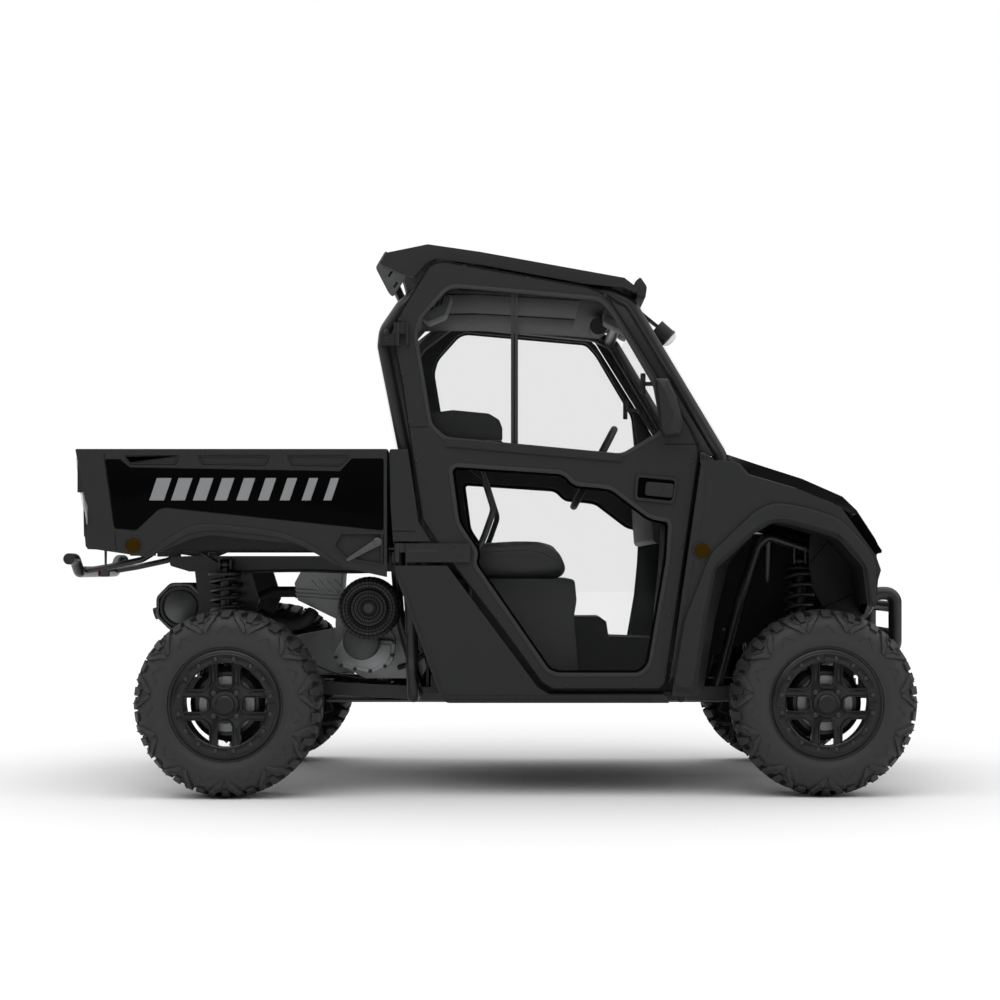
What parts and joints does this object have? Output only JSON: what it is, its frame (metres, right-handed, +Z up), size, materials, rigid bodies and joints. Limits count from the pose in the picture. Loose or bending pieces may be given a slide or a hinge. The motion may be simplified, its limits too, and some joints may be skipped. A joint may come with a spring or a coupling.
{
  "type": "side by side utility vehicle",
  "caption": "Enclosed side by side utility vehicle with steering, turning wheels, hinged cab doors and a tilting cargo bed with a drop tailgate",
  "frame": {"origin": "on the ground, midway between the front guard and the rear bar, on the centre plane", "axes": "+X to the front of the vehicle, +Y to its left side, +Z up"},
  "size_m": [2.9939, 1.62, 1.9339],
  "materials": {
    "frame_black": "satin black coat",
    "plastic_grain": "dark grey, fine grain",
    "plate_metal": "zinc plated plate",
    "cushion_vinyl": "black padded vinyl",
    "clear_window": "clear polished sheet",
    "lamp_clear": "clear lens",
    "lamp_amber": "red and amber lens",
    "steel_dark": "dark grey steel",
    "cast_metal": "plain casting",
    "tyre_rubber": "matt tread rubber",
    "wheel_alloy": "dark machined alloy",
    "grip_rubber": "soft grip"
  },
  "bodies": {
    "chassis": {"chassis_frame": "frame_black", "skid_plate": "plate_metal", "floor_tub": "plastic_grain", "seat_base": "plastic_grain", "seat_cushions": "cushion_vinyl", "seat_backs": "cushion_vinyl", "dashboard": "plastic_grain", "cab_frame": "frame_black", "roof_panel": "plastic_grain", "windshield": "clear_window", "rear_wall": "plastic_grain", "rear_window": "clear_window", "hood": "plastic_grain", "front_fascia": "plastic_grain", "front_lamps": "lamp_clear", "fender_right": "plastic_grain", "fender_left": "plastic_grain", "side_panel_right": "plastic_grain", "side_panel_left": "plastic_grain", "front_guard": "frame_black", "muffler": "steel_dark", "engine": "cast_metal", "drive_cover": "plastic_grain", "front_arms": "frame_black", "rear_arms": "frame_black", "rear_knuckles": "cast_metal", "front_shocks": "steel_dark", "rear_shocks": "steel_dark", "drive_shafts": "steel_dark", "front_gearcase": "cast_metal", "restraint_bars": "frame_black", "screen_fittings": "plastic_grain", "hinge_brackets": "frame_black"},
    "bed": {"bed_tub": "plastic_grain", "bed_side_right": "plastic_grain", "bed_side_left": "plastic_grain", "tail_lamps": "lamp_amber", "rear_bar": "frame_black", "bed_levers": "plate_metal"},
    "tailgate": {"tailgate": "plastic_grain"},
    "door_right": {"door_shell_right": "plastic_grain", "door_glass_right": "clear_window", "door_straps_right": "frame_black", "door_fittings_right": "plastic_grain"},
    "door_left": {"door_shell_left": "plastic_grain", "door_glass_left": "clear_window", "door_straps_left": "frame_black", "door_fittings_left": "plastic_grain"},
    "knuckle_right": {"knuckle_front_right": "cast_metal"},
    "knuckle_left": {"knuckle_front_left": "cast_metal"},
    "steering_rack": {"steering_rack": "plate_metal"},
    "steering_wheel": {"steering_wheel": "grip_rubber"},
    "wheel_front_right": {"tyre_front_right": "tyre_rubber", "rim_front_right": "wheel_alloy"},
    "wheel_front_left": {"tyre_front_left": "tyre_rubber", "rim_front_left": "wheel_alloy"},
    "wheel_rear_right": {"tyre_rear_right": "tyre_rubber", "rim_rear_right": "wheel_alloy"},
    "wheel_rear_left": {"tyre_rear_left": "tyre_rubber", "rim_rear_left": "wheel_alloy"}
  },
  "joints": [
    {"name": "bed_tilt", "type": "hinge", "parent": "chassis", "child": "bed", "pos_m": [-1.13, 0, 0.806], "axis": [0, -1, 0], "range_deg": [0, 40]},
    {"name": "tailgate_hinge", "type": "hinge", "parent": "bed", "child": "tailgate", "pos_m": [-1.386, 0, 0.872], "axis": [0, -1, 0], "range_deg": [0, 90]},
    {"name": "door_hinge_right", "type": "hinge", "parent": "chassis", "child": "door_right", "pos_m": [-0.309, -0.733, 1.2], "axis": [0, 0, -1], "range_deg": [0, 75]},
    {"name": "door_hinge_left", "type": "hinge", "parent": "chassis", "child": "door_left", "pos_m": [-0.309, 0.733, 1.2], "axis": [0, 0, 1], "range_deg": [0, 75]},
    {"name": "steer_right", "type": "hinge", "parent": "chassis", "child": "knuckle_right", "pos_m": [1.155, -0.53, 0.32], "axis": [0, 0, 1], "range_deg": [-28, 28]},
    {"name": "steer_left", "type": "hinge", "parent": "chassis", "child": "knuckle_left", "pos_m": [1.155, 0.53, 0.32], "axis": [0, 0, 1], "range_deg": [-28, 28]},
    {"name": "rack_slide", "type": "slide", "parent": "chassis", "child": "steering_rack", "axis": [0, 1, 0], "range_m": [-0.057, 0.057]},
    {"name": "steering_wheel_turn", "type": "hinge", "parent": "chassis", "child": "steering_wheel", "pos_m": [0.401, 0.33, 1.174], "axis": [-0.8854, 0, 0.4648], "range_deg": [-255, 255]},
    {"name": "spin_front_right", "type": "hinge", "parent": "knuckle_right", "child": "wheel_front_right", "pos_m": [1.155, -0.642, 0.32], "axis": [0, 1, 0], "continuous": true},
    {"name": "spin_front_left", "type": "hinge", "parent": "knuckle_left", "child": "wheel_front_left", "pos_m": [1.155, 0.642, 0.32], "axis": [0, 1, 0], "continuous": true},
    {"name": "spin_rear_right", "type": "hinge", "parent": "chassis", "child": "wheel_rear_right", "pos_m": [-0.885, -0.677, 0.32], "axis": [0, 1, 0], "continuous": true},
    {"name": "spin_rear_left", "type": "hinge", "parent": "chassis", "child": "wheel_rear_left", "pos_m": [-0.885, 0.677, 0.32], "axis": [0, 1, 0], "continuous": true}
  ],
  "couplings": [
    {"joint": "steer_left", "follows": "steer_right", "ratio": 1},
    {"joint": "rack_slide", "follows": "steer_right", "m_per_rad": -0.115},
    {"joint": "steering_wheel_turn", "follows": "steer_right", "ratio": 9}
  ]
}
